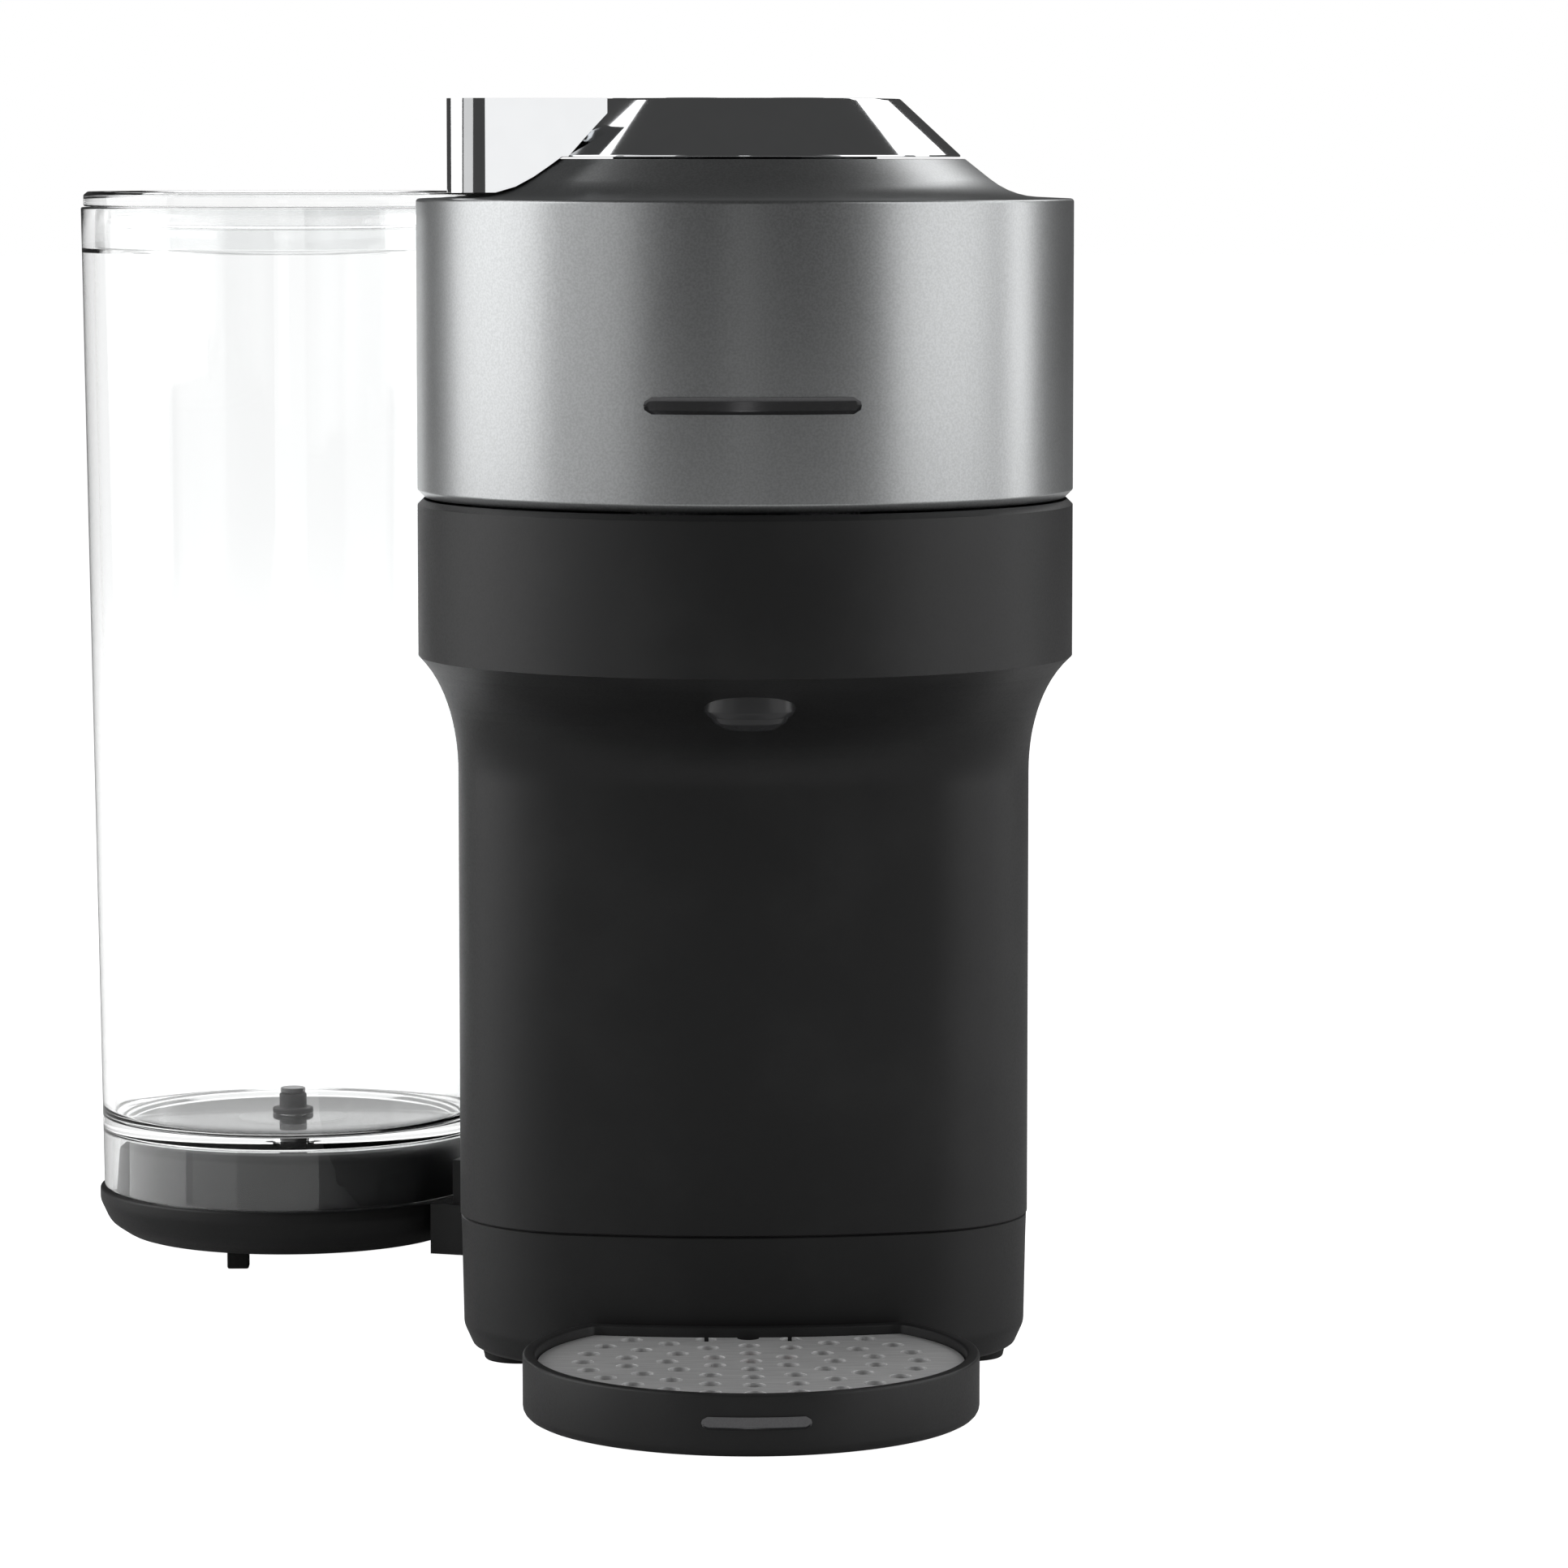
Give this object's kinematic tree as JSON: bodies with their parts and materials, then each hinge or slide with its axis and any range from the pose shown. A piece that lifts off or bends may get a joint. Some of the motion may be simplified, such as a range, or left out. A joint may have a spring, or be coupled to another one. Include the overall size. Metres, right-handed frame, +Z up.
{
  "type": "pod coffee machine",
  "caption": "Pod coffee machine: drum head on a slim column, turning lever, swing-out clear water tank, round drip tray, used-capsule bin.",
  "frame": {"origin": "on the counter, under the middle of the machine's box with the tank at rest on its left", "axes": "+Z up, -Y towards the front, where the drip tray and the coffee outlet are, +X to the machine's right as seen from the front"},
  "size_m": [0.2189, 0.3004, 0.2681],
  "materials": {
    "silver": "satin silver",
    "black_body": "satin black",
    "black_inner": "black",
    "chrome": "polished",
    "steel": "brushed",
    "grid_steel": "brushed",
    "clear": "clear",
    "smoke": "dark gloss",
    "rubber": "matt",
    "cast": "cast",
    "hose": "translucent",
    "board": "green",
    "badge": "gloss",
    "lens": "milky",
    "float_red": "red",
    "seal": "silicone"
  },
  "bodies": {
    "machine": {"base_shell": "black_body", "base_plate": "black_inner", "base_screws": "steel", "feet": "rubber", "pivot_post": "cast", "main_housing": "black_body", "rear_deck": "black_body", "chassis": "steel", "brew_deck": "black_inner", "brew_chamber": "cast", "brew_seal": "seal", "coffee_outlet": "smoke", "outlet_tip": "smoke", "capsule_chute": "black_inner", "pump": "cast", "pump_mounts": "rubber", "flow_meter": "hose", "heater": "cast", "control_board": "board", "feed_hose": "hose", "pump_hose": "hose", "pressure_pipe": "hose", "brew_pipe": "hose", "mains_inlet": "black_inner", "switch_frame": "black_inner", "hinge_pins": "steel"},
    "rocker": {"switch_rocker": "smoke"},
    "head": {"head_shell": "silver", "head_floor": "black_inner", "control_post": "black_inner", "control_disc": "smoke", "status_lens": "lens", "head_badge": "badge", "spring_short": "steel", "spring_long": "steel"},
    "lever": {"chrome_cap": "chrome", "lever_blade": "chrome"},
    "piston": {"brew_piston": "black_inner", "spray_plate": "steel"},
    "short_button": {"button_short": "chrome"},
    "long_button": {"button_long": "chrome"},
    "swing_arm": {"tank_arm": "black_body", "tank_dish": "black_body", "tank_plinth": "black_body", "tank_foot": "rubber", "dock_socket": "smoke"},
    "tank": {"tank_body": "clear", "tank_collar": "clear", "tank_valve": "black_inner", "valve_spring": "steel"},
    "poppet": {"valve_poppet": "smoke"},
    "lid": {"tank_lid": "clear"},
    "tray": {"drip_tray": "black_body", "tray_badge": "badge"},
    "grid": {"drip_grid": "grid_steel"},
    "float": {"tray_float": "float_red"},
    "bin": {"capsule_bin": "black_inner", "bin_front": "black_body"}
  },
  "joints": [
    {"name": "head_tilt", "type": "hinge", "parent": "machine", "child": "head", "pos_m": [0.04097, 0.02567, 0.1974], "axis": [-1, 0, 0], "range_deg": [0, 55]},
    {"name": "lever_turn", "type": "hinge", "parent": "head", "child": "lever", "pos_m": [0.04097, -0.05433, 0.256], "axis": [0, 0, 1], "range_deg": [0, 90]},
    {"name": "piston_lift", "type": "slide", "parent": "head", "child": "piston", "axis": [0, 0, 1], "range_m": [0, 0.006]},
    {"name": "short_press", "type": "slide", "parent": "head", "child": "short_button", "axis": [0, 0, -1], "range_m": [0, 0.0012], "stiffness_N_per_m": 400, "deforming": ["spring_short"]},
    {"name": "long_press", "type": "slide", "parent": "head", "child": "long_button", "axis": [0, 0, -1], "range_m": [0, 0.0012], "stiffness_N_per_m": 400, "deforming": ["spring_long"]},
    {"name": "switch_rock", "type": "hinge", "parent": "machine", "child": "rocker", "pos_m": [0.09757, 0.04967, 0.072], "axis": [0, 1, 0], "range_deg": [0, 12]},
    {"name": "arm_swing", "type": "hinge", "parent": "machine", "child": "swing_arm", "pos_m": [0.04097, 0.06567, 0.014], "axis": [0, 0, -1], "range_deg": [0, 70]},
    {"name": "tank_lift", "type": "slide", "parent": "swing_arm", "child": "tank", "axis": [0, 0, 1], "range_m": [0, 0.12]},
    {"name": "valve_open", "type": "slide", "parent": "tank", "child": "poppet", "axis": [0, 0, 1], "range_m": [0, 0.0015], "stiffness_N_per_m": 300, "deforming": ["valve_spring"]},
    {"name": "lid_lift", "type": "slide", "parent": "tank", "child": "lid", "axis": [0, 0, 1], "range_m": [0, 0.06]},
    {"name": "tray_slide", "type": "slide", "parent": "machine", "child": "tray", "axis": [0, -1, 0], "range_m": [0, 0.11]},
    {"name": "grid_lift", "type": "slide", "parent": "tray", "child": "grid", "axis": [0, 0, 1], "range_m": [0, 0.05]},
    {"name": "float_rise", "type": "slide", "parent": "tray", "child": "float", "axis": [0, 0, 1], "range_m": [0, 0.0035]},
    {"name": "bin_slide", "type": "slide", "parent": "machine", "child": "bin", "axis": [1, 0, 0], "range_m": [0, 0.095]}
  ],
  "couplings": [
    {"joint": "piston_lift", "follows": "lever_turn", "m_per_rad": 0.0038197}
  ]
}
